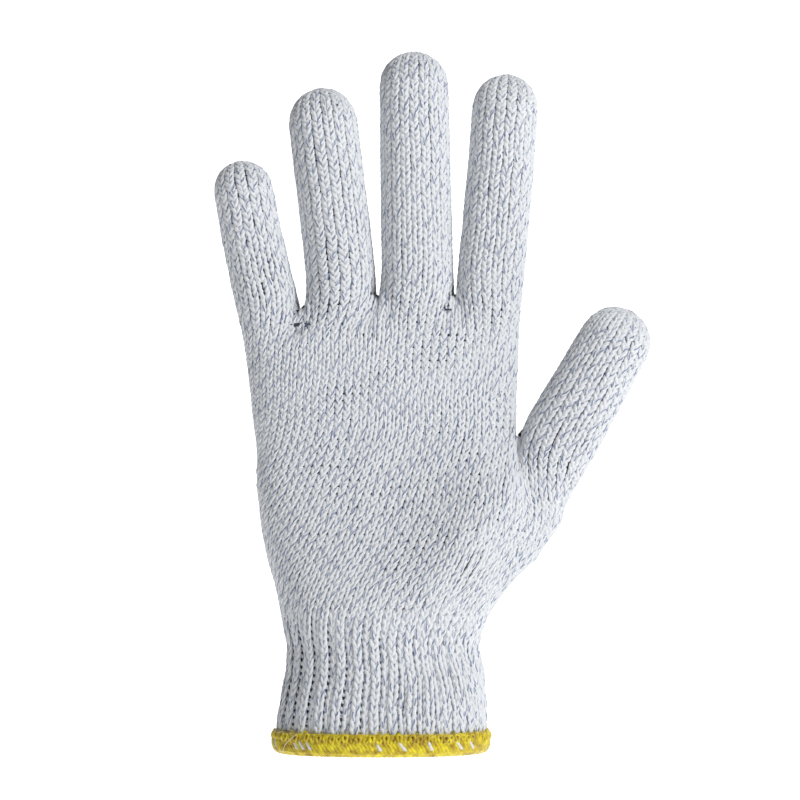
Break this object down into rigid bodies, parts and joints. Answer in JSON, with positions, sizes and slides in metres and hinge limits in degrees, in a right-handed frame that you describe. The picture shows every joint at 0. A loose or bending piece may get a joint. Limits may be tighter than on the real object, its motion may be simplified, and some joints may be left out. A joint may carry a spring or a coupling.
{
  "type": "knit glove liner",
  "caption": "Knitted work glove liner for the right hand, holding the form of a worn hand: hollow fingers and thumb, a palm, a ribbed cuff and an overlocked hem.",
  "frame": {"origin": "centre of the open cuff mouth, in the plane of the hem's lower edge", "axes": "+Z from the cuff to the fingertips, -Y out of the palm, +X towards the thumb"},
  "size_m": [0.148, 0.052, 0.2386],
  "materials": {
    "knit_yarn": "matte, slightly hairy white yarn with a thin blue ply, plain knitted, ribbed at the cuff",
    "hem_thread": "yellow textured overlock thread with a soft sheen"
  },
  "bodies": {
    "root": {"little_finger": "knit_yarn", "ring_finger": "knit_yarn", "middle_finger": "knit_yarn", "index_finger": "knit_yarn", "thumb": "knit_yarn", "palm": "knit_yarn", "rib_cuff": "knit_yarn", "hem_binding": "hem_thread"}
  },
  "joints": []
}
